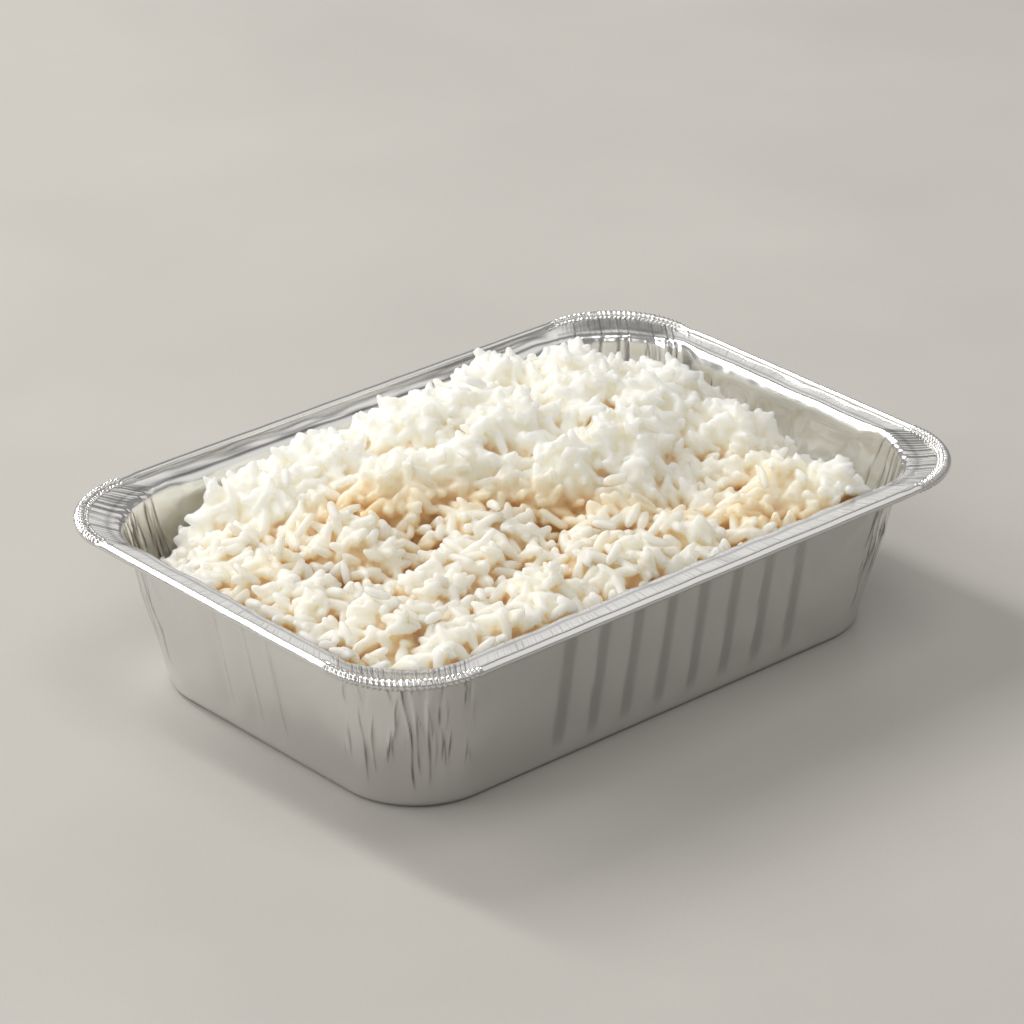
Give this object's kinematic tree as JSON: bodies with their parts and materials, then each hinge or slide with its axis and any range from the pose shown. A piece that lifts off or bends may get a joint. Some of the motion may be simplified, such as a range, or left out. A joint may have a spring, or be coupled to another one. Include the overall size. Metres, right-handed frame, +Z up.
{
  "type": "foil tray meal",
  "caption": "Oblong foil take-away tray with a rolled rim, ribbed tapered walls and pleated corners, open on top and heaped with cooked white rice.",
  "frame": {"origin": "middle of the tray's footprint, on the plane the base rests on", "axes": "+X along the tray's long side, +Y across it, +Z up"},
  "size_m": [0.214, 0.1494, 0.0641],
  "materials": {
    "rolled_foil": "bright rolled foil, creased and pleated",
    "cooked_rice": "moist, slightly translucent white grains"
  },
  "bodies": {
    "root": {"foil_tray": "rolled_foil", "rice_heap": "cooked_rice"}
  },
  "joints": []
}
